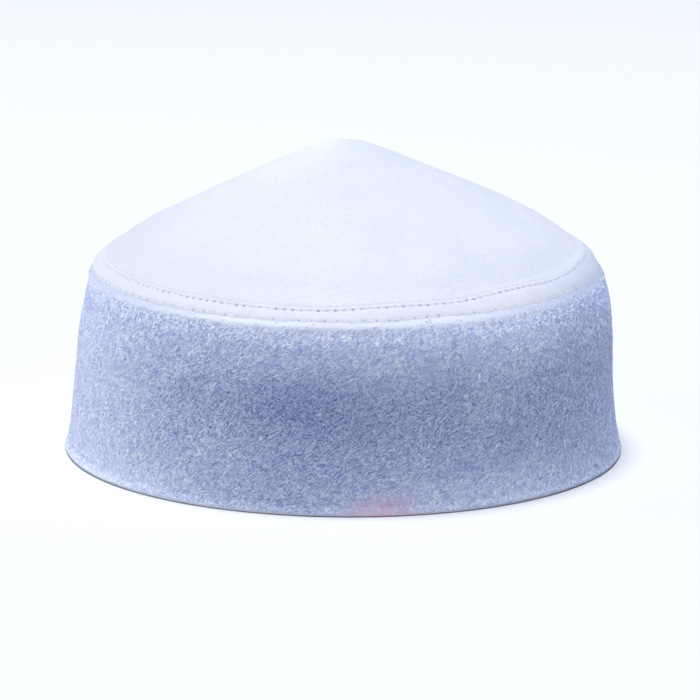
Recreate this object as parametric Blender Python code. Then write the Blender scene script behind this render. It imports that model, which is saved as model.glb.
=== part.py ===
# A kufi: a low cone crown of smooth cloth on an upright wall of thick felt, with a stitched strip
# over the seam where the two meet. Sizes are in millimetres and are turned into metres when the
# meshes are made. The rim rests on z = 0, the front faces -Y, and +X is the right side as seen
# from the front.

from collections import namedtuple
from math import atan2, cos, exp, hypot, pi, radians, sin

import bpy

METRES = 0.001
SIDES = 80

# Wall thicknesses, and the space left between two pieces that touch
FELT = 2.8
CROWN_CLOTH = 1.6
STRIP_CLOTH = 1.0
GAP = 0.36

# The strip's lower edge lies this far below its lower row of stitches, and the felt just below it
# starts this far behind the strip's face
STRIP_LAP = 0.9
ROLL_SET_BACK = 0.25

# The hem is turned over a small round, and rests on a narrow flat ring
HEM_RADIUS = 94.3
HEM_ROUND = 1.0
HEM_STEPS = 3

# Each row is one ring of the hat's outer face. It holds the ring's radius and height at the right
# side, at the front and at the left side; at the back it runs midway between right and left.
Ring = namedtuple("Ring", "right_r right_z front_r front_z left_r left_z")

CROWN_RINGS = (
    Ring(3.9, 104.1, 3.7, 104.1, 3.6, 104.1),
    Ring(8.4, 103.1, 7.8, 103.0, 7.4, 103.1),
    Ring(14.1, 100.9, 14.1, 100.6, 14.2, 100.7),
    Ring(22.2, 97.5, 22.5, 96.8, 23.0, 97.0),
    Ring(34.2, 92.4, 33.9, 91.3, 34.0, 91.7),
    Ring(48.0, 86.7, 46.9, 85.0, 46.5, 85.6),
    Ring(60.9, 80.6, 59.5, 78.3, 59.3, 79.1),
    Ring(71.2, 74.7, 70.2, 71.8, 70.9, 72.8),
    Ring(76.0, 71.2, 75.0, 68.2, 75.8, 69.3),
    Ring(78.3, 69.5, 77.4, 66.5, 78.3, 67.6),
)
FOLDED_EDGE = Ring(80.0, 68.6, 79.3, 65.1, 80.2, 66.4)
UPPER_STITCHES = Ring(81.5, 67.6, 80.6, 64.1, 81.4, 65.3)
LOWER_STITCHES = Ring(85.0, 63.7, 84.6, 61.1, 84.5, 62.4)
FELT_ROLL = Ring(86.4, 61.4, 86.0, 59.3, 85.5, 60.0)
BAND_RINGS = (
    Ring(88.2, 57.0, 87.3, 56.5, 86.4, 56.7),
    Ring(89.4, 51.5, 88.5, 51.5, 87.6, 51.5),
    Ring(90.3, 42.0, 89.9, 42.0, 89.6, 42.0),
    Ring(90.8, 30.0, 90.8, 30.0, 90.7, 30.0),
    Ring(91.5, 18.0, 91.7, 18.0, 91.9, 18.0),
    Ring(92.7, 8.0, 92.8, 8.0, 92.9, 8.0),
    Ring(93.5, 3.5, 93.4, 3.5, 93.3, 3.5),
)
APEX_HEIGHT = 104.3

# Soft dents in the felt: place round the hat in degrees from the right side, height, half width
# round the hat, half height and depth
Dent = namedtuple("Dent", "azimuth height wide tall depth")
DENTS = (
    Dent(-72.0, 26.0, 24.0, 15.0, 0.7),
    Dent(-128.0, 38.0, 20.0, 14.0, 0.4),
    Dent(8.0, 24.0, 26.0, 12.0, 0.3),
    Dent(95.0, 34.0, 30.0, 16.0, 0.6),
)

CROWN_COLOUR = (0.80, 0.84, 0.94)
STRIP_COLOUR = (0.76, 0.80, 0.92)
FELT_COLOUR = (0.50, 0.55, 0.73)
CLOTH_ROUGHNESS = 0.85
FELT_ROUGHNESS = 0.95


def around(right, front, left, azimuth):
    """A smooth value round the hat that takes the given ones at its right, front and left sides."""
    back = (right + left) / 2
    mean = (right + front + left + back) / 4
    side = (right - left) / 2 * cos(azimuth)
    depth = (back - front) / 2 * sin(azimuth)
    oval = (right + left - front - back) / 4 * cos(2 * azimuth)
    return mean + side + depth + oval


def ring_point(ring, azimuth):
    """A ring's radius and height at a place round the hat."""
    radius = around(ring.right_r, ring.front_r, ring.left_r, azimuth)
    height = around(ring.right_z, ring.front_z, ring.left_z, azimuth)
    return radius, height


def dent_at(azimuth, height):
    depth = 0.0
    for dent in DENTS:
        turn = (azimuth - radians(dent.azimuth) + pi) % (2 * pi) - pi
        across = turn / radians(dent.wide)
        up = (height - dent.height) / dent.tall
        depth += dent.depth * exp(-across ** 2 - up ** 2)
    return depth


def towards(start, end, distance):
    """The point that lies a distance from start on the way to end."""
    across, up = end[0] - start[0], end[1] - start[1]
    share = distance / hypot(across, up)
    return start[0] + share * across, start[1] + share * up


def set_in(points, depth):
    """A line on the outer face, drawn top to bottom, moved into the wall by depth."""
    moved = []
    for i, (r, z) in enumerate(points):
        before = points[max(i - 1, 0)]
        after = points[min(i + 1, len(points) - 1)]
        out, down = after[0] - before[0], before[1] - after[1]
        length = hypot(out, down)
        moved.append((max(r - depth * down / length, 0.0), z - depth * out / length))
    return moved


def strip_face(azimuth):
    """The strip's outer face: folded edge, upper stitches, lower stitches, lower edge."""
    rings = (FOLDED_EDGE, UPPER_STITCHES, LOWER_STITCHES)
    points = [ring_point(ring, azimuth) for ring in rings]
    points.append(towards(points[-1], ring_point(FELT_ROLL, azimuth), STRIP_LAP))
    return points


def strip_seat(azimuth):
    """The line under the strip that crown and band lie on, and the seam halfway down it."""
    seat = set_in(strip_face(azimuth), STRIP_CLOTH + GAP)
    seam = ((seat[1][0] + seat[2][0]) / 2, (seat[1][1] + seat[2][1]) / 2)
    return seat, seam


def crown_section(azimuth):
    """The crown's outer face from its tip to the tucked edge, then its inner face back up."""
    seat, seam = strip_seat(azimuth)
    outer = [(0.0, APEX_HEIGHT)]
    outer += [ring_point(ring, azimuth) for ring in CROWN_RINGS]
    outer += [seat[0], seat[1], towards(seam, seat[1], GAP / 2)]
    inner = set_in(outer, CROWN_CLOTH)
    inner[0] = (0.0, APEX_HEIGHT - CROWN_CLOTH)
    del inner[1]
    return outer + inner[::-1]


def strip_section(azimuth):
    """The strip's outer face down, then its inner face up."""
    outer = strip_face(azimuth)
    return outer + set_in(outer, STRIP_CLOTH)[::-1]


def hem_arc(centre, start, end):
    """Points on a round of the hem, from one angle to the other."""
    angles = [start + (end - start) * i / HEM_STEPS for i in range(HEM_STEPS + 1)]
    return [(centre + HEM_ROUND * cos(a), HEM_ROUND + HEM_ROUND * sin(a)) for a in angles]


def band_section(azimuth):
    """The band's outer face from the seam down over the roll of felt and the hem, then its inner face up."""
    seat, seam = strip_seat(azimuth)
    strip_edge = strip_face(azimuth)[-1]
    roll = ring_point(FELT_ROLL, azimuth)
    wall = [ring_point(ring, azimuth) for ring in BAND_RINGS]
    top = towards(seam, seat[2], GAP / 2)
    below_strip = [strip_edge, towards(strip_edge, roll, GAP)]
    notch = set_in(below_strip, STRIP_CLOTH + GAP)[1]
    roll_start = set_in(below_strip, ROLL_SET_BACK)[1]
    outer = [top, seat[2], notch, roll_start, roll] + wall
    inner = set_in([top, seat[2], roll] + wall, FELT)
    del inner[1]
    outer_hem = hem_arc(HEM_RADIUS - HEM_ROUND, 0.0, -pi / 2)
    inner_hem = hem_arc(HEM_RADIUS - FELT + HEM_ROUND, -pi / 2, -pi)
    return outer + outer_hem + inner_hem + inner[::-1]


def dented(r, z, azimuth):
    """A section point in space, in metres, with the felt's dents pressed in."""
    r = max(r - dent_at(azimuth, z), 0.0)
    return r * cos(azimuth) * METRES, r * sin(azimuth) * METRES, z * METRES


def lofted_piece(name, section, material, collection):
    """One closed wall through sections taken all the way round the hat."""
    azimuths = [2 * pi * i / SIDES for i in range(SIDES)]
    sections = [section(azimuth) for azimuth in azimuths]
    count = len(sections[0])
    reaches_axis = sections[0][0][0] == 0.0
    vertices = []
    index = {}
    for i, azimuth in enumerate(azimuths):
        for k, (r, z) in enumerate(sections[i]):
            on_axis = reaches_axis and k in (0, count - 1)
            if on_axis and i > 0:
                index[i, k] = index[0, k]
                continue
            index[i, k] = len(vertices)
            vertices.append(dented(r, z, azimuth))
    faces = []
    steps = count - 1 if reaches_axis else count
    for i in range(SIDES):
        beside = (i + 1) % SIDES
        for k in range(steps):
            below = (k + 1) % count
            corners = [index[i, k], index[i, below], index[beside, below], index[beside, k]]
            faces.append(list(dict.fromkeys(corners)))
    mesh = bpy.data.meshes.new(name)
    mesh.from_pydata(vertices, [], faces)
    mesh.update()
    mesh.materials.append(material)
    mesh.shade_smooth()
    mesh.set_sharp_from_angle(angle=radians(50))
    piece = bpy.data.objects.new(name, mesh)
    collection.objects.link(piece)
    return piece


def cloth_material(name, colour, roughness):
    material = bpy.data.materials.new(name)
    material.use_nodes = True
    shader = material.node_tree.nodes["Principled BSDF"]
    shader.inputs["Base Color"].default_value = (*colour, 1.0)
    shader.inputs["Roughness"].default_value = roughness
    shader.inputs["Metallic"].default_value = 0.0
    return material


def main():
    for thing in list(bpy.data.objects):
        bpy.data.objects.remove(thing)
    kufi = bpy.data.collections.new("kufi")
    bpy.context.scene.collection.children.link(kufi)

    crown_cloth = cloth_material("crown_cloth", CROWN_COLOUR, CLOTH_ROUGHNESS)
    strip_cloth = cloth_material("strip_cloth", STRIP_COLOUR, CLOTH_ROUGHNESS)
    felt = cloth_material("felt", FELT_COLOUR, FELT_ROUGHNESS)

    lofted_piece("crown", crown_section, crown_cloth, kufi)
    lofted_piece("shoulder_strip", strip_section, strip_cloth, kufi)
    lofted_piece("band", band_section, felt, kufi)


main()
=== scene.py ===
# A kufi on a pale studio floor: a low cone of smooth cloth, a stitched strip, a wall of thick felt
import math

import bpy
import numpy as np
from mathutils import Matrix, Vector, noise


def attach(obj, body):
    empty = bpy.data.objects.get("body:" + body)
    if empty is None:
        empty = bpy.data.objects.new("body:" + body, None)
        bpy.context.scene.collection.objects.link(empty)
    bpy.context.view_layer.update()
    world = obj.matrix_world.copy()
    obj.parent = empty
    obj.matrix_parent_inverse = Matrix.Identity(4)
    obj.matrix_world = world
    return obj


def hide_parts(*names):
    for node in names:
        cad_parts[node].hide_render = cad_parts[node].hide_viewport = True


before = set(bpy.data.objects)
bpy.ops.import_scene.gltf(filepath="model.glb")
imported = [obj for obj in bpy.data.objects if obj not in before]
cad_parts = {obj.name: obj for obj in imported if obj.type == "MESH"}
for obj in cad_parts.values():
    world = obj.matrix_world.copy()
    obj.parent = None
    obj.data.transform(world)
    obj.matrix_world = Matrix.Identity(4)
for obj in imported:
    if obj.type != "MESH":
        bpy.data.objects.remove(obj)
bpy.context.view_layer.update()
mm = 0.001
metre = 1000.0  # in mm

# Rings of the outer face, in mm: radius and height at the right, the front and the left
hatRings = {
    "crown": [
        (3.9, 104.1, 3.7, 104.1, 3.6, 104.1),
        (8.4, 103.1, 7.8, 103.0, 7.4, 103.1),
        (14.1, 100.9, 14.1, 100.6, 14.2, 100.7),
        (22.2, 97.5, 22.5, 96.8, 23.0, 97.0),
        (34.2, 92.4, 33.9, 91.3, 34.0, 91.7),
        (48.0, 86.7, 46.9, 85.0, 46.5, 85.6),
        (60.9, 80.6, 59.5, 78.3, 59.3, 79.1),
        (71.2, 74.7, 70.2, 71.8, 70.9, 72.8),
        (76.0, 71.2, 75.0, 68.2, 75.8, 69.3),
        (78.3, 69.5, 77.4, 66.5, 78.3, 67.6),
    ],
    "fold": (80.0, 68.6, 79.3, 65.1, 80.2, 66.4),
    "upperRow": (81.5, 67.6, 80.6, 64.1, 81.4, 65.3),
    "lowerRow": (85.0, 63.7, 84.6, 61.1, 84.5, 62.4),
    "roll": (86.4, 61.4, 86.3, 59.6, 85.5, 60.0),
    "wall": [
        (87.8, 57.0, 87.3, 56.5, 86.0, 56.7),
        (89.1, 51.5, 88.6, 51.5, 87.0, 51.5),
        (90.1, 42.0, 90.4, 42.0, 88.9, 42.0),
        (90.6, 30.0, 91.1, 30.0, 90.1, 30.0),
        (91.3, 18.0, 91.4, 18.0, 91.3, 18.0),
        (92.5, 8.0, 92.3, 8.0, 92.4, 8.0),
        (93.4, 3.5, 93.2, 3.5, 93.1, 3.5),
    ],
}
apexHeight = 104.3

# Soft dents in the felt: degrees from the right side, height, half width, half height, depth
feltDents = [
    (-82, 26, 22, 15, 0.7),
    (-94, 29, 32, 13, 0.4),
    (-128, 38, 20, 14, 0.35),
    (8, 24, 26, 12, 0.2),
    (95, 34, 30, 16, 0.6),
]

# How far each row of stitches strays down the hat, in mm, by degrees from the right side
upperWander = [
    (-180, 0.1), (-150, -0.2), (-120, 0.3), (-104, 0.8), (-97, 1.0), (-92, 0.8), (-86, 0.0),
    (-78, -0.35), (-72, 0.0), (-62, 0.25), (-57, -0.4), (-50, -1.1), (-42, -0.9), (-36, 0.0),
    (-27, 0.0), (-18, -0.6), (-8, -0.5), (4, 0.1), (25, -0.2), (50, 0.3), (80, -0.2),
    (110, 0.3), (140, -0.2), (165, 0.2), (180, 0.1),
]
lowerWander = [
    (-180, -0.1), (-140, 0.2), (-100, 0.1), (-80, 0.1), (-69, -0.6), (-60, 0.1), (-30, 0.2),
    (0, -0.2), (40, 0.25), (75, -0.2), (105, 0.2), (150, -0.2), (180, -0.1),
]


# Lines on the hat: arrays of (radius, height) in mm, one row of them for each place round it

def around(right, front, left, turn):
    back = (right + left) / 2
    mean = (right + front + left + back) / 4
    side = (right - left) / 2 * np.cos(turn)
    depth = (back - front) / 2 * np.sin(turn)
    return mean + side + depth + (right + left - front - back) / 4 * np.cos(2 * turn)


def ringLine(ring, turn):
    radius = around(ring[0], ring[2], ring[4], turn)
    height = around(ring[1], ring[3], ring[5], turn)
    return np.stack([radius, height], -1)


def turns(columns):
    return np.arange(columns) * 2 * math.pi / columns


def wander(keys, turn):
    degrees = (np.degrees(turn) + 180) % 360 - 180
    places, amounts = zip(*keys)
    shifts = (-3.0, -1.5, 0.0, 1.5, 3.0)  # a running mean, so the line has no corners
    total = sum(np.interp((degrees + shift + 180) % 360 - 180, places, amounts) for shift in shifts)
    return total / len(shifts)


def towards(start, end, distance):
    way = end - start
    return start + way * (distance / np.linalg.norm(way, axis=-1))[..., None]


def lineNormals(line):
    before = np.concatenate([line[:1], line[:-1]])
    after = np.concatenate([line[1:], line[-1:]])
    way = after - before
    normal = np.stack([-way[..., 1], way[..., 0]], -1)
    return normal / np.maximum(np.linalg.norm(normal, axis=-1), 1e-9)[..., None]


def setIn(line, depth):
    moved = line - lineNormals(line) * np.asarray(depth)[..., None]
    moved[..., 0] = np.maximum(moved[..., 0], 0.0)
    return moved


def smoothLine(keys, steps):  # a curve through the keys, with that many steps between each two
    keys = np.asarray(keys)
    span = np.maximum(np.linalg.norm(keys[1:] - keys[:-1], axis=-1), 1e-6)[..., None]
    slope = (keys[1:] - keys[:-1]) / span
    inner = (slope[:-1] * span[1:] + slope[1:] * span[:-1]) / (span[1:] + span[:-1])
    tangent = np.concatenate([slope[:1], inner, slope[-1:]])
    rows = [keys[0]]
    for i, count in enumerate(steps):
        for t in np.arange(1, count + 1) / count:
            h00, h10 = 2 * t**3 - 3 * t**2 + 1, t**3 - 2 * t**2 + t
            h01, h11 = 3 * t**2 - 2 * t**3, t**3 - t**2
            rows.append(
                h00 * keys[i] + h10 * span[i] * tangent[i]
                + h01 * keys[i + 1] + h11 * span[i] * tangent[i + 1]
            )
    return np.asarray(rows)


def dentAt(turn, height):
    depth = np.zeros_like(height)
    for azimuth, middle, wide, tall, deep in feltDents:
        off = (turn - math.radians(azimuth) + math.pi) % (2 * math.pi) - math.pi
        depth += deep * np.exp(-(off / math.radians(wide)) ** 2 - ((height - middle) / tall) ** 2)
    return depth


def inSpace(line, turn, dented=True):
    radius, height = line[..., 0], line[..., 1]
    if dented:
        radius = np.maximum(radius - dentAt(turn[None, :], height), 0.0)
    return np.stack([radius * np.cos(turn), radius * np.sin(turn), height], -1) * mm


def stripFace(turn, lap):
    fold, upper, lower = (ringLine(hatRings[k], turn) for k in ("fold", "upperRow", "lowerRow"))
    edge = towards(lower, ringLine(hatRings["roll"], turn), lap)
    return np.stack([fold, upper, lower, edge])


def noiseAt(points, scale, seed):  # mathutils noise at each point, scale in metres
    shift = Vector((seed * 7.31, seed * 3.17, seed * 5.03))
    flat = points.reshape(-1, 3) / scale
    values = [noise.noise(Vector(p) + shift) for p in flat]
    return np.asarray(values).reshape(points.shape[:-1])


# Meshes

def loftWall(name, points, poles):  # rows of points run over the section, each row round the hat
    rows, columns = points.shape[:2]
    if poles:
        vertices = np.concatenate([points[0, :1], points[1:-1].reshape(-1, 3), points[-1, :1]])
    else:
        vertices = points.reshape(-1, 3)
    ring = np.arange(columns)
    beside = (ring + 1) % columns
    faces = []
    if poles:
        last = len(vertices) - 1
        start = 1 + np.arange(rows - 2) * columns
        faces += [(0, 1 + i, 1 + j) for i, j in zip(ring, beside)]
        faces += [(start[-1] + i, last, start[-1] + j) for i, j in zip(ring, beside)]
        pairs = list(zip(start[:-1], start[1:]))
    else:
        start = np.arange(rows) * columns
        pairs = list(zip(start, np.roll(start, -1)))
    for upper, lower in pairs:
        quads = np.stack([upper + ring, lower + ring, lower + beside, upper + beside], -1)
        faces += quads.tolist()
    mesh = bpy.data.meshes.new(name)
    mesh.from_pydata(vertices.tolist(), [], faces)
    mesh.update()
    mesh.shade_smooth()
    return mesh


def addPiece(name, mesh):
    piece = bpy.data.objects.new(name, mesh)
    bpy.context.scene.collection.objects.link(piece)
    return piece


def pointValues(mesh, name, values, kind="FLOAT"):
    layer = mesh.attributes.new(name, kind, "POINT")
    key = "vector" if kind == "FLOAT_VECTOR" else "value"
    layer.data.foreach_set(key, np.asarray(values, np.float32).ravel())


# Node helpers

def makeTree(name, kind, inputs, outputs):
    tree = bpy.data.node_groups.new(name, kind)
    for label, socketType, value in inputs:
        socket = tree.interface.new_socket(label, in_out="INPUT", socket_type=socketType)
        if value is not None:
            socket.default_value = value
    for label, socketType in outputs:
        tree.interface.new_socket(label, in_out="OUTPUT", socket_type=socketType)
    return tree, tree.nodes.new("NodeGroupInput").outputs, tree.nodes.new("NodeGroupOutput").inputs


def addNode(tree, kind, links=(), **settings):  # links: pairs of an input and its socket or value
    node = tree.nodes.new(kind)
    for key, value in settings.items():
        setattr(node, key, value)
    for key, source in links:
        if isinstance(source, bpy.types.NodeSocket):
            tree.links.new(source, node.inputs[key])
        else:
            node.inputs[key].default_value = source
    return node


def mathNode(tree, operation, first, second=None, clamp=False):
    links = [(0, first)]
    if second is not None:
        links.append((1, second))
    node = addNode(tree, "ShaderNodeMath", links, operation=operation, use_clamp=clamp)
    return node.outputs[0]


def vectorNode(tree, operation, first, second=None):
    links = [(0, first)]
    if second is not None:
        links.append((3 if operation == "SCALE" else 1, second))
    node = addNode(tree, "ShaderNodeVectorMath", links, operation=operation)
    return node.outputs[0]


def rangeNode(tree, value, low, high, first=0.0, last=1.0, kind="LINEAR"):  # low becomes first
    links = [(0, value), ("From Min", low), ("From Max", high), ("To Min", first), ("To Max", last)]
    return addNode(tree, "ShaderNodeMapRange", links, interpolation_type=kind).outputs[0]


def noiseNode(tree, place, scale, detail, roughness=0.5):
    links = [("Vector", place), ("Scale", scale), ("Detail", detail), ("Roughness", roughness)]
    return addNode(tree, "ShaderNodeTexNoise", links).outputs[0]


def splitNode(tree, vector):
    return addNode(tree, "ShaderNodeSeparateXYZ", [(0, vector)]).outputs


def attributeNode(tree, name):
    return addNode(tree, "ShaderNodeAttribute", attribute_name=name).outputs["Fac"]


def fieldNode(tree, name, kind="FLOAT"):
    return addNode(tree, "GeometryNodeInputNamedAttribute", [(0, name)], data_type=kind).outputs[0]


def randomNode(tree, low, high, seed):
    links = [(2, low), (3, high), (8, seed)]
    return addNode(tree, "FunctionNodeRandomValue", links, data_type="FLOAT").outputs[1]


def runTree(source, tree, values, name):  # the tree's result on the source, as a plain mesh piece
    modifier = source.modifiers.new(tree.name, "NODES")
    modifier.node_group = tree
    for item in tree.interface.items_tree:
        if item.in_out == "INPUT" and item.name in values:
            modifier[item.identifier] = values[item.name]
    graph = bpy.context.evaluated_depsgraph_get()
    graph.update()
    mesh = bpy.data.meshes.new_from_object(
        source.evaluated_get(graph), preserve_all_data_layers=True, depsgraph=graph
    )
    mesh.name = name
    source.modifiers.remove(modifier)
    return addPiece(name, mesh)


# Shared shader groups

streakField = {
    "layers": [(-56.0, 0.0), (-34.0, 3.1), (46.0, 7.7)],  # slant in degrees, shift of the noise
    "detail": 1.5,
    "roughness": 0.6,
    "patchScales": [260.0, 340.0],  # of the noises that choose between the layers
    "patchShift": (0.3, 0.1, 0.2),
    "firstPatch": (0.42, 0.58),
    "secondPatch": (0.5, 0.64),
    "contrast": (0.36, 0.64),
}
grainField = {"detail": 2.5, "roughness": 0.65, "cloudDetail": 2.0, "knots": 0.5, "contrast": (0.3, 0.7)}


def makeFibreStreaks(field):  # slanted short fibres on the wall: lines twisted round the hat's axis
    tree, given, result = makeTree(
        "fibreStreaks", "ShaderNodeTree",
        [
            ("Vector", "NodeSocketVector", None),
            ("Width", "NodeSocketFloat", 0.35),
            ("Length", "NodeSocketFloat", 1.6),
            ("Radius", "NodeSocketFloat", 90.0),
        ],
        [("Mask", "NodeSocketFloat"), ("Height", "NodeSocketFloat")],
    )
    height = splitNode(tree, given["Vector"])[2]
    perMetre = mathNode(tree, "DIVIDE", metre, given["Radius"])
    layers = []
    for degrees, shift in field["layers"]:
        slant = math.radians(degrees)
        twist = mathNode(tree, "MULTIPLY", perMetre, math.tan(slant))
        angle = mathNode(tree, "MULTIPLY", height, twist)
        turned = addNode(
            tree, "ShaderNodeVectorRotate",
            [("Vector", given["Vector"]), ("Angle", angle)], rotation_type="Z_AXIS",
        ).outputs[0]
        across = mathNode(tree, "DIVIDE", metre * math.cos(slant), given["Width"])
        along = mathNode(tree, "DIVIDE", metre / math.cos(slant), given["Length"])
        size = addNode(tree, "ShaderNodeCombineXYZ", [(0, across), (1, across), (2, along)]).outputs[0]
        scaled = vectorNode(tree, "MULTIPLY", turned, size)
        moved = vectorNode(tree, "ADD", scaled, (shift, shift * 2, shift * 3))
        layers.append(noiseNode(tree, moved, 1.0, field["detail"], field["roughness"]))
    firstScale, secondScale = field["patchScales"]
    shifted = vectorNode(tree, "ADD", given["Vector"], field["patchShift"])
    first = rangeNode(tree, noiseNode(tree, given["Vector"], firstScale, 1.0), *field["firstPatch"])
    second = rangeNode(tree, noiseNode(tree, shifted, secondScale, 1.0), *field["secondPatch"])
    mixed = addNode(tree, "ShaderNodeMix", [(0, first), (2, layers[0]), (3, layers[1])]).outputs[0]
    mixed = addNode(tree, "ShaderNodeMix", [(0, second), (2, mixed), (3, layers[2])]).outputs[0]
    tree.links.new(rangeNode(tree, mixed, *field["contrast"]), result["Mask"])
    tree.links.new(mixed, result["Height"])
    return tree


def makeClothGrain(field):  # the fine grain of smooth brushed cloth, with a faint cloudiness
    tree, given, result = makeTree(
        "clothGrain", "ShaderNodeTree",
        [
            ("Vector", "NodeSocketVector", None),
            ("Grain", "NodeSocketFloat", 0.35),
            ("Cloud", "NodeSocketFloat", 9.0),
        ],
        [("Mask", "NodeSocketFloat"), ("Cloud", "NodeSocketFloat"), ("Height", "NodeSocketFloat")],
    )
    fine = mathNode(tree, "DIVIDE", metre, given["Grain"])
    wide = mathNode(tree, "DIVIDE", metre, given["Cloud"])
    threads = noiseNode(tree, given["Vector"], fine, field["detail"], field["roughness"])
    knots = addNode(
        tree, "ShaderNodeTexVoronoi", [("Vector", given["Vector"]), ("Scale", fine)],
        feature="SMOOTH_F1",
    ).outputs[0]
    cloud = noiseNode(tree, given["Vector"], wide, field["cloudDetail"])
    height = mathNode(tree, "ADD", threads, mathNode(tree, "MULTIPLY", knots, field["knots"]))
    tree.links.new(rangeNode(tree, threads, *field["contrast"]), result["Mask"])
    tree.links.new(rangeNode(tree, cloud, *field["contrast"]), result["Cloud"])
    tree.links.new(height, result["Height"])
    return tree


fibreStreaks = makeFibreStreaks(streakField)
clothGrain = makeClothGrain(grainField)


def startMaterial(name, look):
    material = bpy.data.materials.new(name)
    material.use_nodes = True
    tree = material.node_tree
    shader = tree.nodes["Principled BSDF"]
    for label, value in zip(("Sheen Weight", "Sheen Roughness", "Specular IOR Level"), look["finish"]):
        shader.inputs[label].default_value = value
    place = tree.nodes.new("ShaderNodeTexCoord").outputs["Object"]
    return material, tree, shader, place


def blendColour(tree, factor, first, second):
    node = tree.nodes.new("ShaderNodeMix")
    node.data_type = "RGBA"
    for socket, value in ((node.inputs[0], factor), (node.inputs[6], first), (node.inputs[7], second)):
        if isinstance(value, bpy.types.NodeSocket):
            tree.links.new(value, socket)
        elif isinstance(value, tuple):
            socket.default_value = (*value, 1.0)
        else:
            socket.default_value = value
    return node.outputs[2]


def addBump(tree, shader, height, distance):
    bump = addNode(tree, "ShaderNodeBump", [("Height", height), ("Distance", distance), ("Strength", 1.0)])
    tree.links.new(bump.outputs[0], shader.inputs["Normal"])


# Looks; the places in them are ranges in metres, across to the right or up the hat

crownLook = {
    "light": (0.65, 0.655, 0.69),
    "deep": (0.54, 0.56, 0.62),
    # painted light: the crown paler near the strip
    "hemLitColour": (0.86, 0.85, 0.87),
    "hemLitShare": 0.2,
    "hemLitHeight": (0.092, 0.068),
    "hemLitAcross": (0.02, 0.06),
    # painted shade: the crown darker towards its left side
    "left": (0.455, 0.475, 0.53),
    "grain": 0.6,
    "cloud": 14.0,
    "relief": 0.00022,
    "finish": (0.25, 0.45, 0.2),  # sheen, its roughness, specular
}
stripLook = {
    "light": (0.685, 0.675, 0.705),
    "deep": (0.575, 0.59, 0.655),
    # painted shade: dark needle holes and darker creases along the rows
    "holeAndShadow": (0.22, 0.23, 0.40),
    "creaseShade": (0.60, 0.61, 0.67),
    # painted shade: the strip darker and bluer towards its right end
    "asideShade": (0.44, 0.475, 0.59),
    "asideShadeShare": 0.75,
    "asideShadeAcross": (0.055, 0.085),
    # painted shade: the strip darker towards its left end
    "left": (0.48, 0.495, 0.56),
    "grain": 0.35,
    "cloud": 7.0,
    "relief": 0.0001,
    "finish": (0.25, 0.45, 0.2),
}
clothShare = {
    "grain": 0.7,
    "cloud": 0.3,
    # share and range of the painted shade towards the left of crown and strip
    "left": 0.8,
    "leftShadeAcross": (-0.005, -0.075),
    "roughness": (0.78, 0.92),
}
feltLook = {
    "light": (0.82, 0.89, 0.975),
    "deep": (0.165, 0.215, 0.52),
    # painted light: the colours of the felt where it is painted as lit
    "paintedLitLight": (1.0, 1.0, 1.0),
    "paintedLitDeep": (0.49, 0.575, 0.86),
    "rim": (0.62, 0.635, 0.705),
    "rimShade": (0.36, 0.40, 0.53),
    # painted shade: the rim darker at the sides
    "asideShadeAcross": (0.035, 0.085),
    "bareStart": 0.95,
    "bareFall": 3.0,
    "violet": (0.44, 0.43, 0.72),
    "violetRange": (0.52, 0.72, 0.0, 0.45),
    "blush": (0.90, 0.58, 0.70),
    "blushRange": (0.3, 0.7, 0.45, 0.85),
    "fleck": (0.05, 0.05, 0.14),
    "cloudScale": 420.0,
    "width": 0.42,
    "length": 1.5,
    "ownShade": 0.95,
    "streakShade": 0.45,
    "shadeDrop": 0.2,
    "roughness": (0.88, 1.0),
    "relief": 0.0005,
    "bareRelief": 0.35,
    "napRelief": 0.65,
    "finish": (0.2, 0.6, 0.1),
}
threadLook = {
    "light": (0.70, 0.70, 0.73),
    "deep": (0.58, 0.60, 0.68),
    "plyScale": 4200.0,
    "roughness": (0.55, 0.8),
    "relief": 0.00004,
    "finish": (0.2, 0.4, 0.3),
}


def makeCloth(name, look):
    material, tree, shader, place = startMaterial(name, look)
    across, _, height = splitNode(tree, place)
    grain = addNode(
        tree, "ShaderNodeGroup",
        [("Vector", place), ("Grain", look["grain"]), ("Cloud", look["cloud"])], node_tree=clothGrain,
    ).outputs
    mixed = mathNode(tree, "ADD", mathNode(tree, "MULTIPLY", grain["Mask"], clothShare["grain"]),
                     mathNode(tree, "MULTIPLY", grain["Cloud"], clothShare["cloud"]))
    colour = blendColour(tree, mixed, look["deep"], look["light"])
    if "hemLitColour" in look:  # painted light: a little paler towards the strip, but not at the right, where the crown stays in shade
        low = rangeNode(tree, height, *look["hemLitHeight"], 0.0, look["hemLitShare"])
        inward = rangeNode(tree, across, *look["hemLitAcross"], 1.0, 0.0)
        colour = blendColour(tree, mathNode(tree, "MULTIPLY", low, inward), colour, look["hemLitColour"])
    # painted shade: the crown and the strip darker towards their left side
    left = rangeNode(tree, across, *clothShare["leftShadeAcross"], 0.0, clothShare["left"])
    colour = blendColour(tree, left, colour, look["left"])
    if "asideShade" in look:  # painted shade: darker and bluer towards the right end
        right = rangeNode(tree, across, *look["asideShadeAcross"], 0.0, look["asideShadeShare"])
        colour = blendColour(tree, right, colour, look["asideShade"])
    # painted shade in the creases along the rows and in the needle holes
    for spot in ("creaseShade", "holeAndShadow"):
        if spot in look:
            colour = blendColour(tree, attributeNode(tree, spot), colour, look[spot])
    tree.links.new(colour, shader.inputs["Base Color"])
    rough = rangeNode(tree, grain["Mask"], 0.0, 1.0, *clothShare["roughness"])
    tree.links.new(rough, shader.inputs["Roughness"])
    addBump(tree, shader, grain["Height"], look["relief"])
    return material


def spotMask(tree, place, centre, size):  # 1 in the middle of an oval spot, 0 outside it
    off = vectorNode(tree, "SUBTRACT", place, centre)
    scaled = vectorNode(tree, "DIVIDE", off, size)
    length = addNode(tree, "ShaderNodeVectorMath", [(0, scaled)], operation="LENGTH").outputs[1]
    return rangeNode(tree, length, 0.0, 1.0, 1.0, 0.0, "SMOOTHSTEP")


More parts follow.
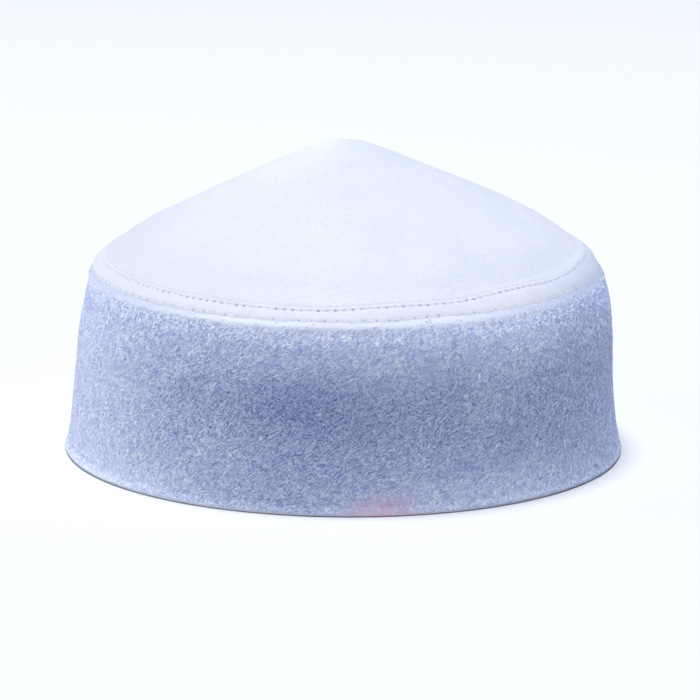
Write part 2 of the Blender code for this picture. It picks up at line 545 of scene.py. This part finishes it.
feltPaintedLight = {  # painted light: where the felt is painted paler; each range in metres, then the shares at its two ends
    "driftScale": 38.0,
    "drift": 0.012,
    "top": (0.036, 0.064, 0.0, 1.0),
    "hem": (0.034, 0.006, 0.0, 0.85),
    "left": (-0.045, -0.088, 0.0, 0.85),
    "right": (0.045, 0.085, 0.0, 0.3),
    "topRight": (0.055, 0.088, 1.0, 0.05),
    "topLeft": (-0.01, -0.045, 1.0, 0.5),
    "hemLeft": (-0.07, -0.04, 1.0, 0.35),
    "hemMiddle": (-0.02, 0.035, 0.35, 1.0),
    "hemCorner": (0.065, 0.088, 1.0, 0.35),
    "leftDepth": (-0.025, 0.01, 1.0, 0.3),  # from the front backwards
}


def paintedLightMask(tree, place):  # painted light: the felt is painted paler over its rolled top, towards the hem and at the sides, where light falls on it
    across, depth, height = splitNode(tree, place)
    drift = noiseNode(tree, place, feltPaintedLight["driftScale"], 2.0)
    height = mathNode(tree, "ADD", height, mathNode(tree, "MULTIPLY", drift, feltPaintedLight["drift"]))
    top, hem, left, right = (
        rangeNode(tree, value, *feltPaintedLight[part], "SMOOTHSTEP")
        for value, part in ((height, "top"), (height, "hem"), (across, "left"), (across, "right"))
    )
    topRight, topLeft, hemLeft, hemMiddle, hemCorner = (
        rangeNode(tree, across, *feltPaintedLight[part])
        for part in ("topRight", "topLeft", "hemLeft", "hemMiddle", "hemCorner")
    )
    hem = mathNode(tree, "MULTIPLY", hem, mathNode(tree, "MAXIMUM", hemLeft, hemMiddle))
    hem = mathNode(tree, "MULTIPLY", hem, hemCorner)
    top = mathNode(tree, "MULTIPLY", mathNode(tree, "MULTIPLY", top, topRight), topLeft)
    left = mathNode(tree, "MULTIPLY", left, rangeNode(tree, depth, *feltPaintedLight["leftDepth"]))
    upright = mathNode(tree, "MAXIMUM", top, hem)
    return mathNode(tree, "MAXIMUM", upright, mathNode(tree, "MAXIMUM", left, right))


feltSpots = {  # place and size, in metres
    "blush": ((0.012, -0.094, 0.0), (0.017, 0.03, 0.0105)),
    "fleck": ((0.0828, -0.0432, 0.0042), (0.0006, 0.0008, 0.0010)),
    "shadingPatches": [  # place, size and strength of patches of painted shade (darker) and painted light (paler)
        ((-0.010, -0.09, 0.037), (0.036, 0.05, 0.017), -0.14),
        ((0.046, -0.078, 0.033), (0.022, 0.04, 0.013), 0.12),
        ((0.044, -0.082, 0.016), (0.022, 0.04, 0.010), -0.09),
        ((-0.042, -0.08, 0.022), (0.020, 0.04, 0.014), 0.08),
    ],
}


def makeFelt(name, look, fibre):
    material, tree, shader, place = startMaterial(name, look)
    streaks = addNode(
        tree, "ShaderNodeGroup",
        [("Vector", place), ("Width", look["width"]), ("Length", look["length"])], node_tree=fibreStreaks,
    ).outputs
    shade = streaks["Mask"]
    if fibre:
        own = mathNode(tree, "MULTIPLY", attributeNode(tree, "fibreShade"), look["ownShade"])
        shade = mathNode(tree, "ADD", own, mathNode(tree, "MULTIPLY", shade, look["streakShade"]))
        shade = mathNode(tree, "SUBTRACT", shade, look["shadeDrop"], clamp=True)
    # painted shade and painted light in soft patches on the wall
    for centre, size, strength in feltSpots["shadingPatches"]:
        shadingPatch = mathNode(tree, "MULTIPLY", spotMask(tree, place, centre, size), strength)
        shade = mathNode(tree, "ADD", shade, shadingPatch, clamp=True)
    # painted light: paler felt over the top, the hem and the sides
    paintedLight = paintedLightMask(tree, place)
    deep = blendColour(tree, paintedLight, look["deep"], look["paintedLitDeep"])
    light = blendColour(tree, paintedLight, look["light"], look["paintedLitLight"])
    colour = blendColour(tree, shade, deep, light)
    cloud = noiseNode(tree, place, look["cloudScale"], 2.0)
    colour = blendColour(tree, rangeNode(tree, cloud, *look["violetRange"]), colour, look["violet"])
    # hardly any nap shows just under the strip, and that rim is painted darker at the sides, as shade
    nap = attributeNode(tree, "nap")
    bare = mathNode(tree, "MULTIPLY", nap, look["bareFall"])
    bare = mathNode(tree, "SUBTRACT", look["bareStart"], bare, clamp=True)
    offMiddle = mathNode(tree, "ABSOLUTE", splitNode(tree, place)[0])
    asideShade = rangeNode(tree, offMiddle, *look["asideShadeAcross"])
    colour = blendColour(tree, bare, colour, blendColour(tree, asideShade, look["rim"], look["rimShade"]))
    blush = spotMask(tree, place, *feltSpots["blush"])
    blush = mathNode(tree, "MULTIPLY", blush, rangeNode(tree, cloud, *look["blushRange"]))
    colour = blendColour(tree, blush, colour, look["blush"])
    colour = blendColour(tree, spotMask(tree, place, *feltSpots["fleck"]), colour, look["fleck"])
    tree.links.new(colour, shader.inputs["Base Color"])
    rough = rangeNode(tree, shade, 0.0, 1.0, *look["roughness"])
    tree.links.new(rough, shader.inputs["Roughness"])
    if not fibre:
        rougher = mathNode(tree, "MULTIPLY", nap, look["napRelief"])
        rougher = mathNode(tree, "ADD", look["bareRelief"], rougher)
        height = mathNode(tree, "MULTIPLY", streaks["Height"], rougher)
        addBump(tree, shader, height, look["relief"])
    return material


def makeThread(look):
    material, tree, shader, place = startMaterial("thread", look)
    ply = noiseNode(tree, place, look["plyScale"], 1.0)
    tree.links.new(blendColour(tree, ply, look["deep"], look["light"]), shader.inputs["Base Color"])
    rough = rangeNode(tree, ply, 0.0, 1.0, *look["roughness"])
    tree.links.new(rough, shader.inputs["Roughness"])
    addBump(tree, shader, ply, look["relief"])
    return material


crownCloth = makeCloth("crownCloth", crownLook)
stripCloth = makeCloth("stripCloth", stripLook)
feltCloth = makeFelt("feltCloth", feltLook, False)
feltFibre = makeFelt("feltFibre", feltLook, True)
thread = makeThread(threadLook)
print("materials made")


# The crown: a cone of smooth cloth that dips a little before it goes under the strip

crownShape = {  # lengths in mm, sizes of the noises in metres
    "columns": 360,
    "steps": [4, 4, 4, 5, 7, 8, 8, 7, 5, 4, 4, 2, 2, 3, 2],
    "cloth": 1.6,
    "innerStep": 3,
    "underFold": 0.02,
    "underStrip": 1.0,
    "tuckReaches": (0.55, 0.7),
    "tuckDepth": 0.16,
    "seamGap": 0.1,
    "ripple": 0.10,
    "rippleSize": 0.021,
    "rippleStart": 20,
    "pucker": 0.10,
    "puckerSize": 0.0022,
    "puckerStretch": (1, 1, 0.2),
    "puckerReach": 3.0,
}


def makeCrown(shape):
    turn = turns(shape["columns"])
    face = stripKeys(turn)
    seat = setIn(face, shape["underStrip"])
    fold = setIn(face, shape["underFold"])[0]
    tuck = np.stack([towards(face[0], face[1], reach) for reach in shape["tuckReaches"]])
    under = setIn(tuck, shape["tuckDepth"])[0]
    seam = (seat[1] + seat[2]) / 2
    apex = np.stack([np.zeros_like(turn), np.full_like(turn, apexHeight)], -1)
    keys = [apex] + [ringLine(ring, turn) for ring in hatRings["crown"]]
    keys += [fold, under, towards(seat[0], seat[1], 1.0), seat[1]]
    keys.append(towards(seam, seat[1], shape["seamGap"]))
    outer = smoothLine(keys, shape["steps"])
    space = inSpace(outer, turn, dented=False)
    rippled = noiseAt(space, shape["rippleSize"], 1) * shape["ripple"]
    fade = np.clip(outer[..., 0] / shape["rippleStart"], 0, 1)
    stretched = space * np.array(shape["puckerStretch"])
    puckered = noiseAt(stretched, shape["puckerSize"], 2) * shape["pucker"]
    near = np.exp(-((outer[..., 1] - under[..., 1]) / shape["puckerReach"]) ** 2)
    lift = rippled * fade + puckered * near
    outer = outer + lineNormals(outer) * lift[..., None]
    outer[0, :, 0] = 0.0
    outer[0, :, 1] = apexHeight
    inner = setIn(outer, shape["cloth"])[::shape["innerStep"]]
    inner[0] = np.stack([np.zeros_like(turn), np.full_like(turn, apexHeight - shape["cloth"])], -1)
    points = inSpace(np.concatenate([outer, inner[::-1]]), turn, dented=False)
    mesh = loftWall("crownCone", points, poles=True)
    mesh.materials.append(crownCloth)
    return addPiece("crownCone", mesh)


# The strip: a folded edge, two sunk rows of stitches and a soft swell between them

stripShape = {  # lengths in mm, sizes of the noises in metres
    "columns": 1504,
    "steps": [6, 12, 4],
    "innerRows": [0, 3, 6, 12, 18, 22],
    "middleRadius": 83.0,
    "lap": 0.9,
    "thick": 0.95,
    "foldReach": 1.55,
    "swell": 0.11,
    "swellPower": 0.8,
    "foldSwell": 0.07,
    "upperSink": (0.08, 0.42),  # depth and reach
    "lowerSink": (0.08, 0.48),
    "upperCreaseShade": (0.2, 0.34),  # strength and reach of the painted shade along the row
    "lowerCreaseShade": (0.15, 0.4),
    "upperStitches": 188,
    "lowerStitches": 130,
    "holeReach": 0.35,
    "holeSink": 0.28,
    "holeShade": 1.1,
    "holeSize": (0.7, 0.8),  # the same for all, and what varies
    "holeStray": 0.22,
    "lowerHoles": 0.85,
    "lowerFade": (0.5, 0.45, 0.3),  # share, and the cosines where it starts and how far it runs
    "lump": (0.0035, 0.07),
    "weave": (0.0019, 0.045),
    "weaveStretch": (1, 1, 0.35),
    "pleat": 0.16,
    "pleatSize": 0.0017,
    "pleatStretch": 0.3,
    "pleatEdge": 1.2,
    "pleatLeast": 0.2,
    "pleatStart": (0.6, 0.25),  # the cosine where they start, and how far it runs
    "foldDrop": (0.26, 0.6),  # depth and reach
    "edgeDrop": (0.5, 0.75),
    "foldTuck": 0.25,
    "edgeTuck": 0.2,
}


def stripKeys(turn):  # fold, upper row, lower row and lower edge, with the rows' wander
    shape = stripShape
    fold, upper, lower, edge = stripFace(turn, shape["lap"])
    upward = towards(upper, fold, 1.0) - upper
    downward = towards(upper, lower, 1.0) - upper
    overEdge = towards(lower, edge, 1.0) - lower
    upper = upper + downward * wander(upperWander, turn)[:, None]
    shift = wander(lowerWander, turn)[:, None]
    lower = lower + overEdge * shift
    edge = edge + overEdge * shift
    fold = upper + upward * shape["foldReach"]
    return np.stack([fold, upper, lower, edge])


def needleHoles(shape, turn, travel, at, stitches):  # one row of holes, 1 in the middle of each
    place = turn * stitches / (2 * math.pi)
    nearest = np.round(place)
    off = (place - nearest) * 2 * math.pi * shape["middleRadius"] / stitches
    least, varied = shape["holeSize"]
    number = nearest % stitches
    loose = [least + varied * noise.noise(Vector((i * 1.7, stitches, 0.5))) for i in number]
    stray = [shape["holeStray"] * noise.noise(Vector((i * 2.3, 4.1, stitches))) for i in number]
    along = (off[None, :] / shape["holeReach"]) ** 2
    over = ((travel - at - np.asarray(stray)) / shape["holeReach"]) ** 2
    return np.exp(-(along + over)), np.asarray(loose)


def makeStrip(shape):
    turn = turns(shape["columns"])
    steps = shape["steps"]
    outer = smoothLine(stripKeys(turn), steps)
    travel = np.zeros(outer.shape[:2])
    travel[1:] = np.cumsum(np.linalg.norm(outer[1:] - outer[:-1], axis=-1), 0)
    upperAt, lowerAt, edgeAt = travel[steps[0]], travel[steps[0] + steps[1]], travel[-1]

    def swell(low, high, amount):
        share = np.clip((travel - low) / np.maximum(high - low, 1e-6), 0, 1)
        return amount * np.sin(np.pi * share) ** shape["swellPower"]

    def groove(at, amount, reach):
        return amount * np.exp(-((travel - at) / reach) ** 2)

    def drop(way, amount, reach):
        return amount * np.clip(1 - way / reach, 0, 1) ** 2

    lift = swell(0.0, upperAt, shape["foldSwell"]) + swell(upperAt, lowerAt, shape["swell"])
    lift -= groove(upperAt, *shape["upperSink"])
    lift -= groove(lowerAt, *shape["lowerSink"])
    # painted shade along the two rows
    creaseShade = groove(upperAt, *shape["upperCreaseShade"]) + groove(lowerAt, *shape["lowerCreaseShade"])
    spots, loose = needleHoles(shape, turn, travel, upperAt, shape["upperStitches"])
    holeAndShadow = np.maximum(0.0, spots * loose)
    spots, loose = needleHoles(shape, turn, travel, lowerAt, shape["lowerStitches"])
    share, start, run = shape["lowerFade"]  # the lower row hardly shows at the right
    spots = spots * (1 - share * np.clip((np.cos(turn) - start) / run, 0, 1))
    holeAndShadow = np.maximum(holeAndShadow, spots * loose * shape["lowerHoles"])
    lift -= holeAndShadow * shape["holeSink"]
    space = inSpace(outer, turn, dented=False)
    size, height = shape["lump"]
    lift += noiseAt(space, size, 5) * height
    size, height = shape["weave"]
    lift += noiseAt(space * np.array(shape["weaveStretch"]), size, 6) * height
    # short pleats across the strip, where it is pulled round at the right
    circle = np.stack([np.cos(turn), np.sin(turn)], -1) * shape["middleRadius"]
    circle = np.broadcast_to(circle, (len(outer), *circle.shape))
    flat = np.concatenate([circle, travel[..., None] * shape["pleatStretch"]], -1)
    least = shape["pleatLeast"]
    start, run = shape["pleatStart"]
    pulled = least + (1 - least) * np.clip((np.cos(turn) - start) / run, 0, 1)
    between = np.clip(np.minimum(travel, edgeAt - travel) / shape["pleatEdge"], 0, 1)
    lift += noiseAt(flat * mm, shape["pleatSize"], 7) * shape["pleat"] * pulled * between
    # the fold and the lower edge turn under in a small round
    lift = lift - drop(travel, *shape["foldDrop"]) - drop(edgeAt - travel, *shape["edgeDrop"])
    normals = lineNormals(outer)
    shaped = outer + normals * lift[..., None]
    inner = (outer - normals * shape["thick"])[shape["innerRows"]]
    inner[0] += (inner[1] - inner[0]) * shape["foldTuck"]
    inner[-1] += (inner[-2] - inner[-1]) * shape["edgeTuck"]
    points = inSpace(np.concatenate([shaped, inner[::-1]]), turn, dented=False)
    mesh = loftWall("shoulderStrip", points, poles=False)
    padding = np.zeros((len(inner), len(turn)))
    # painted shade of the needle holes and the creases, for the material
    holeShade = np.clip(holeAndShadow * shape["holeShade"], 0, 1)
    pointValues(mesh, "holeAndShadow", np.concatenate([holeShade, padding]))
    pointValues(mesh, "creaseShade", np.concatenate([np.clip(creaseShade, 0, 1), padding]))
    mesh.materials.append(stripCloth)
    return addPiece("shoulderStrip", mesh)


# The band: thick felt, rolled over at the strip and turned in a small round at the hem

bandShape = {  # lengths in mm, sizes of the noises in metres
    "columns": 640,
    "steps": [3, 4, 7, 10, 16, 20, 20, 16, 8],
    "innerSteps": [2, 2, 3, 4, 4, 4, 3, 2],
    "hemPoints": (7, 5),  # on the outer and on the inner round
    "felt": 2.8,
    "underStrip": 1.25,
    "seamGap": 0.1,
    "rimReach": 0.4,  # the felt laps a little over the strip's lower edge
    "notchReach": 0.12,
    "notchDepth": 1.1,
    "startDepth": 0.13,
    "swellReaches": (0.7, 0.9),
    "swellDepth": 0.08,
    "hemRadius": 94.3,
    "hemRound": 1.0,
    "lump": 0.13,
    "lumpSize": 0.0042,
    "pile": 0.07,
    "pileSize": 0.0012,
    "hiddenRows": 3,
    "napHem": (0.8, 1.2),  # where the nap starts, and how far it takes to grow
    "napTop": (0.8, 7.0),
    "napLeast": 0.02,
    "napPower": 1.2,
}


def makeBand(shape):
    turn = turns(shape["columns"])
    face = stripKeys(turn)
    seat = setIn(face, shape["underStrip"])
    seam = (seat[1] + seat[2]) / 2
    roll = ringLine(hatRings["roll"], turn)
    wall = [ringLine(ring, turn) for ring in hatRings["wall"]]
    top = towards(seam, seat[2], shape["seamGap"])
    rim = towards(face[2], face[3], shape["rimReach"])
    below = np.stack([rim, towards(rim, roll, shape["notchReach"])])
    notch = setIn(below, shape["notchDepth"])[1]
    start = setIn(below, shape["startDepth"])[1]
    swollen = np.stack([towards(rim, roll, reach) for reach in shape["swellReaches"]])
    swollen = setIn(swollen, shape["swellDepth"])[0]
    body = smoothLine(np.stack([start, swollen, roll] + wall), shape["steps"])

    def hemRing(radius, angle):
        height = shape["hemRound"] * (1 + math.sin(angle))
        return np.stack([np.full_like(turn, radius), np.full_like(turn, height)], -1)

    outerPoints, innerPoints = shape["hemPoints"]
    hem = [
        hemRing(shape["hemRadius"] - shape["hemRound"] * (1 - math.cos(angle)), angle)
        for angle in np.radians(np.linspace(0, -90, outerPoints))
    ]
    innerHem = [
        hemRing(shape["hemRadius"] - shape["felt"] + shape["hemRound"] * (1 + math.cos(angle)), angle)
        for angle in np.radians(np.linspace(-90, -180, innerPoints))
    ]
    outer = np.concatenate([np.stack([top, seat[2], notch]), body, np.stack(hem)])
    innerKeys = setIn(np.stack([seat[2], roll] + wall), shape["felt"])
    innerFace = smoothLine(innerKeys, shape["innerSteps"])[::-1]
    innerTop = setIn(np.stack([top, seat[2]]), shape["felt"])[:1]
    space = inSpace(outer, turn)
    upright = np.clip(outer[..., 1] / 1.6 - 0.2, 0, 1)  # the hem itself stays smooth
    hidden = shape["hiddenRows"]
    upright[:hidden] = 0
    lift = noiseAt(space, shape["lumpSize"], 8) * shape["lump"]
    lift += noiseAt(space, shape["pileSize"], 9) * shape["pile"]
    outer = outer + lineNormals(outer) * (lift * upright)[..., None]
    line = np.concatenate([outer, np.stack(innerHem)[1:], innerFace, innerTop])
    mesh = loftWall("feltBand", inSpace(line, turn), poles=False)

    # how much nap grows at each point, and which way it lies
    napped = np.zeros(line.shape[:2])
    tall = outer[hidden:, :, 1]
    start, run = shape["napHem"]
    atHem = np.clip((tall - start) / run, 0, 1)
    start, run = shape["napTop"]
    atTop = np.clip((rim[None, :, 1] - tall - start) / run, shape["napLeast"], 1) ** shape["napPower"]
    napped[hidden:len(outer)] = atHem * atTop
    pointValues(mesh, "nap", napped)
    way = np.zeros(line.shape)
    way[:-1] = line[1:] - line[:-1]
    way /= np.maximum(np.linalg.norm(way, axis=-1), 1e-9)[..., None]
    lay = np.stack([way[..., 0] * np.cos(turn), way[..., 0] * np.sin(turn), way[..., 1]], -1)
    pointValues(mesh, "lay", lay, "FLOAT_VECTOR")
    mesh.materials.append(feltCloth)
    return addPiece("feltBand", mesh)


crown = makeCrown(crownShape)
strip = makeStrip(stripShape)
band = makeBand(bandShape)
print("crown, strip and band made")


# The nap: short fibres lying on the felt, in quarters round the hat

napShape = {
    "quarters": 4,
    "density": 4.8e6,  # fibres on a square metre where the nap is full
    "length": 0.0012,
    "lengthShares": (0.55, 1.3),
    "radius": 0.00015,
    "lift": 0.16,
    "liftShares": (0.3, 1.7),
    "lean": -0.95,
    "spread": 0.8,
    "swirl": 1.8,
    "swirlScale": 130.0,
    "lowest": 0.0002,
    "seed": 11,
}


def sow(tree, given, result, links):  # instances, made real and given their material
    sown = addNode(tree, "GeometryNodeInstanceOnPoints", links).outputs[0]
    real = addNode(tree, "GeometryNodeRealizeInstances", [(0, sown)]).outputs[0]
    done = addNode(
        tree, "GeometryNodeSetMaterial", [("Geometry", real), ("Material", given["Material"])],
    ).outputs[0]
    tree.links.new(done, result[0])


def makeNapTree(shape):
    tree, given, result = makeTree(
        "feltNap", "GeometryNodeTree",
        [
            ("Geometry", "NodeSocketGeometry", None),
            ("Density", "NodeSocketFloat", 1e6),
            ("Length", "NodeSocketFloat", 0.002),
            ("Radius", "NodeSocketFloat", 0.00006),
            ("Lift", "NodeSocketFloat", 0.2),
            ("Lean", "NodeSocketFloat", 0.0),
            ("Spread", "NodeSocketFloat", 1.2),
            ("Quarter", "NodeSocketInt", 0),
            ("Seed", "NodeSocketInt", 0),
            ("Material", "NodeSocketMaterial", None),
        ],
        [("Geometry", "NodeSocketGeometry")],
    )
    place = tree.nodes.new("GeometryNodeInputPosition").outputs[0]
    split = splitNode(tree, place)
    angle = mathNode(tree, "ADD", mathNode(tree, "ARCTAN2", split[1], split[0]), math.pi)
    quarter = mathNode(tree, "FLOOR", mathNode(tree, "DIVIDE", angle, 2 * math.pi / shape["quarters"]))
    match = addNode(
        tree, "ShaderNodeMath", [(0, quarter), (1, given["Quarter"]), (2, 0.5)], operation="COMPARE",
    ).outputs[0]
    density = mathNode(tree, "MULTIPLY", fieldNode(tree, "nap"), match)
    density = mathNode(tree, "MULTIPLY", density, given["Density"])
    scatter = addNode(
        tree, "GeometryNodeDistributePointsOnFaces",
        [("Mesh", given["Geometry"]), ("Density", density), ("Seed", given["Seed"])],
        distribute_method="RANDOM",
    ).outputs
    normal = scatter["Normal"]
    drift = noiseNode(tree, place, shape["swirlScale"], 1.0)
    swirl = mathNode(tree, "MULTIPLY", mathNode(tree, "SUBTRACT", drift, 0.5), shape["swirl"])
    swirl = mathNode(tree, "ADD", swirl, given["Lean"])
    minus = mathNode(tree, "MULTIPLY", given["Spread"], -1.0)
    turned = mathNode(tree, "ADD", swirl, randomNode(tree, minus, given["Spread"], 1))
    direction = addNode(
        tree, "ShaderNodeVectorRotate",
        [("Vector", fieldNode(tree, "lay", "FLOAT_VECTOR")), ("Axis", normal), ("Angle", turned)],
        rotation_type="AXIS_ANGLE",
    ).outputs[0]
    lift = mathNode(tree, "MULTIPLY", given["Lift"], randomNode(tree, *shape["liftShares"], 2))
    raised = vectorNode(tree, "ADD", direction, vectorNode(tree, "SCALE", normal, lift))
    direction = vectorNode(tree, "NORMALIZE", raised)
    reach = mathNode(tree, "MULTIPLY", given["Length"], randomNode(tree, *shape["lengthShares"], 3))
    tip = vectorNode(tree, "ADD", place, vectorNode(tree, "SCALE", direction, reach))
    shaded = addNode(
        tree, "GeometryNodeStoreNamedAttribute",
        [("Geometry", scatter["Points"]), ("Name", "fibreShade"), ("Value", randomNode(tree, 0.0, 1.0, 4))],
        data_type="FLOAT", domain="POINT",
    ).outputs[0]
    tooLow = mathNode(tree, "LESS_THAN", splitNode(tree, tip)[2], shape["lowest"])
    kept = addNode(
        tree, "GeometryNodeDeleteGeometry", [("Geometry", shaded), ("Selection", tooLow)], domain="POINT",
    ).outputs[0]
    fibre = addNode(
        tree, "GeometryNodeMeshCone",
        [("Vertices", 3), ("Side Segments", 1), ("Radius Top", 0.0), ("Radius Bottom", given["Radius"]),
         ("Depth", 1.0)],
        fill_type="NGON",
    ).outputs["Mesh"]
    rotation = addNode(
        tree, "FunctionNodeAlignRotationToVector", [("Vector", direction)], axis="Z",
    ).outputs[0]
    size = addNode(tree, "ShaderNodeCombineXYZ", [(0, 1.0), (1, 1.0), (2, reach)]).outputs[0]
    sow(tree, given, result, [("Points", kept), ("Instance", fibre), ("Rotation", rotation), ("Scale", size)])
    return tree


napTree = makeNapTree(napShape)
napPieces = []
for quarter in range(napShape["quarters"]):
    nap = runTree(band, napTree, {
        "Density": napShape["density"],
        "Length": napShape["length"],
        "Radius": napShape["radius"],
        "Lift": napShape["lift"],
        "Lean": napShape["lean"],
        "Spread": napShape["spread"],
        "Quarter": quarter,
        "Seed": napShape["seed"] + quarter,
        "Material": feltFibre,
    }, f"feltNap{quarter + 1}")
    napPieces.append(nap)
    print("nap quarter", quarter + 1, len(nap.data.polygons), "faces")


# The stitches: short sunk lengths of thread

stitchShape = {  # lengths in mm
    "upperLength": 2.1,
    "lowerLength": 2.5,
    "thickness": 0.28,
    "upperDepth": 0.12,
    "lowerDepth": 0.13,
    "sizeShares": (0.9, 1.08),
    "tilt": 0.05,
    "seed": 5,
}


def makeStitchTree(shape):
    tree, given, result = makeTree(
        "sewnRow", "GeometryNodeTree",
        [
            ("Geometry", "NodeSocketGeometry", None),
            ("Length", "NodeSocketFloat", 0.002),
            ("Thickness", "NodeSocketFloat", 0.0004),
            ("Seed", "NodeSocketInt", 0),
            ("Material", "NodeSocketMaterial", None),
        ],
        [("Geometry", "NodeSocketGeometry")],
    )
    bead = addNode(
        tree, "GeometryNodeMeshUVSphere", [("Segments", 8), ("Rings", 6), ("Radius", 0.5)],
    ).outputs[0]
    laid = addNode(
        tree, "GeometryNodeTransform", [("Geometry", bead), ("Rotation", (0.0, math.pi / 2, 0.0))],
    ).outputs[0]
    smooth = addNode(tree, "GeometryNodeSetShadeSmooth", [("Geometry", laid)]).outputs[0]
    along, outward = (fieldNode(tree, name, "FLOAT_VECTOR") for name in ("along", "outward"))
    axes = addNode(
        tree, "FunctionNodeAxesToRotation", [(0, along), (1, outward)],
        primary_axis="X", secondary_axis="Z",
    ).outputs[0]
    size = addNode(
        tree, "ShaderNodeCombineXYZ",
        [(0, given["Length"]), (1, given["Thickness"]), (2, given["Thickness"])],
    ).outputs[0]
    size = vectorNode(tree, "SCALE", size, randomNode(tree, *shape["sizeShares"], given["Seed"]))
    sow(tree, given, result,
        [("Points", given["Geometry"]), ("Instance", smooth), ("Rotation", axes), ("Scale", size)])
    return tree


stitchTree = makeStitchTree(stitchShape)


def makeRow(name, row, stitches, length, depth):  # each stitch lies between two needle holes
    turn = (np.arange(stitches) + 0.5) * 2 * math.pi / stitches
    step = 0.004

    def rowPoint(angle, extra):
        face = stripKeys(angle)
        line = face[row] - lineNormals(face)[row] * extra
        return inSpace(line[None], angle, dented=False)[0]

    places = rowPoint(turn, depth)
    along = rowPoint(turn + step, depth) - rowPoint(turn - step, depth)
    outward = rowPoint(turn, depth - 1.0) - places
    rng = np.random.default_rng(stitchShape["seed"] + row)
    tilt = rng.normal(0, stitchShape["tilt"], len(turn))[:, None]
    along /= np.linalg.norm(along, axis=-1)[:, None]
    outward /= np.linalg.norm(outward, axis=-1)[:, None]
    along = along + np.cross(outward, along) * tilt
    mesh = bpy.data.meshes.new(name + "Guide")
    mesh.from_pydata(places.tolist(), [], [])
    pointValues(mesh, "along", along, "FLOAT_VECTOR")
    pointValues(mesh, "outward", outward, "FLOAT_VECTOR")
    guide = addPiece(name + "Guide", mesh)
    piece = runTree(guide, stitchTree, {
        "Length": length * mm,
        "Thickness": stitchShape["thickness"] * mm,
        "Seed": stitchShape["seed"] + row,
        "Material": thread,
    }, name)
    bpy.data.objects.remove(guide)
    return piece


upperRow, lowerRow = (
    makeRow(f"{name}Stitches", row, stripShape[f"{name}Stitches"],
            stitchShape[f"{name}Length"], stitchShape[f"{name}Depth"])
    for row, name in ((1, "upper"), (2, "lower"))
)
print("stitches made")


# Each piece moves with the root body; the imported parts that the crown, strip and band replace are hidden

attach(crown, "root")
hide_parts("crown")
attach(strip, "root")
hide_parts("shoulder_strip")
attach(band, "root")
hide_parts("band")
for nap in napPieces:
    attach(nap, "root")
for row in (upperRow, lowerRow):
    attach(row, "root")


# Floor, lights and camera

studio = {
    "floor": (0.65, 0.645, 0.635),
    "floorRadius": 9,
    "floorSides": 64,
    "sky": (0.46, 0.62, 1.0),
    "skyStrength": 0.27,
    "lights": [  # name, place, aim, size in metres, watts, spread in degrees, colour
        ("overheadSoftbox", (-0.19, 0.15, 6.0), (0.0, 0.0, 0.08), 2.6, 520.0, 180, (0.925, 0.955, 1.0)),
        ("leftSoftbox", (-3.0, 0.23, 0.28), (0.0, 0.0, 0.06), 1.15, 9.25, 70, (0.97, 0.96, 0.86)),
        ("rightFill", (3.0, -0.84, 0.28), (0.0, 0.0, 0.06), 1.2, 1.85, 70, (0.96, 0.97, 1.0)),
    ],
}


def makeFloor():
    mesh = bpy.data.meshes.new("studioFloor")
    radius, count = studio["floorRadius"], studio["floorSides"]
    ring = [(radius * math.cos(a), radius * math.sin(a), 0.0) for a in turns(count)]
    mesh.from_pydata(ring, [], [list(range(count))])
    material = bpy.data.materials.new("studioPaper")
    material.use_nodes = True
    shader = material.node_tree.nodes["Principled BSDF"]
    shader.inputs["Base Color"].default_value = (*studio["floor"], 1.0)
    shader.inputs["Roughness"].default_value = 1.0
    shader.inputs["Specular IOR Level"].default_value = 0.0
    mesh.materials.append(material)
    floor = addPiece("studioFloor", mesh)


def makeLights():
    for name, place, target, size, watts, spread, colour in studio["lights"]:
        data = bpy.data.lights.new(name, "AREA")
        data.shape = "DISK"
        data.size = size
        data.energy = watts
        data.spread = math.radians(spread)
        data.color = colour
        lamp = bpy.data.objects.new(name, data)
        aim = (Vector(target) - Vector(place)).to_track_quat("-Z", "Y").to_matrix().to_4x4()
        lamp.matrix_world = Matrix.Translation(place) @ aim
        bpy.context.scene.collection.objects.link(lamp)
    world = bpy.data.worlds.new("studioAir")
    bpy.context.scene.world = world
    world.use_nodes = True
    back = world.node_tree.nodes["Background"]
    back.inputs[0].default_value = (*studio["sky"], 1.0)
    back.inputs[1].default_value = studio["skyStrength"]


cameraView = {
    "distance": 1.2,
    "elevation": 12.1,
    "roll": -0.44,
    "focal": 3558.6,  # in pixels of a 700 pixel frame
    "target": (0.0, 0.0, 0.05),
    "targetPixel": (344.35, 299.32),
    "frameSize": 700,
    "sensor": 36.0,
}


def makeCamera(view):
    elevation, roll = math.radians(view["elevation"]), math.radians(view["roll"])
    target = Vector(view["target"])
    place = target + view["distance"] * Vector((0, -math.cos(elevation), math.sin(elevation)))
    right, up = Vector((1, 0, 0)), Vector((0, math.sin(elevation), math.cos(elevation)))
    ahead = Vector((0, math.cos(elevation), -math.sin(elevation)))
    offX, offY = (view["frameSize"] / 2 - pixel for pixel in view["targetPixel"])
    across = offX * math.cos(roll) - offY * math.sin(roll)
    down = offX * math.sin(roll) + offY * math.cos(roll)
    look = (ahead * view["focal"] + right * across - up * down).normalized()
    top = right * math.sin(roll) + up * math.cos(roll)
    side = look.cross(top).normalized()
    top = side.cross(look)
    data = bpy.data.cameras.new("camera")
    data.sensor_width = view["sensor"]
    data.lens = view["sensor"] * view["focal"] / view["frameSize"]
    data.clip_start, data.clip_end = 0.05, 60.0
    camera = bpy.data.objects.new("camera", data)
    turn = Matrix((side, top, -look)).transposed().to_4x4()
    camera.matrix_world = Matrix.Translation(place) @ turn
    bpy.context.scene.collection.objects.link(camera)
    bpy.context.scene.camera = camera


makeFloor()
makeLights()
makeCamera(cameraView)
bpy.context.scene.view_settings.view_transform = "Standard"
print("studio made")
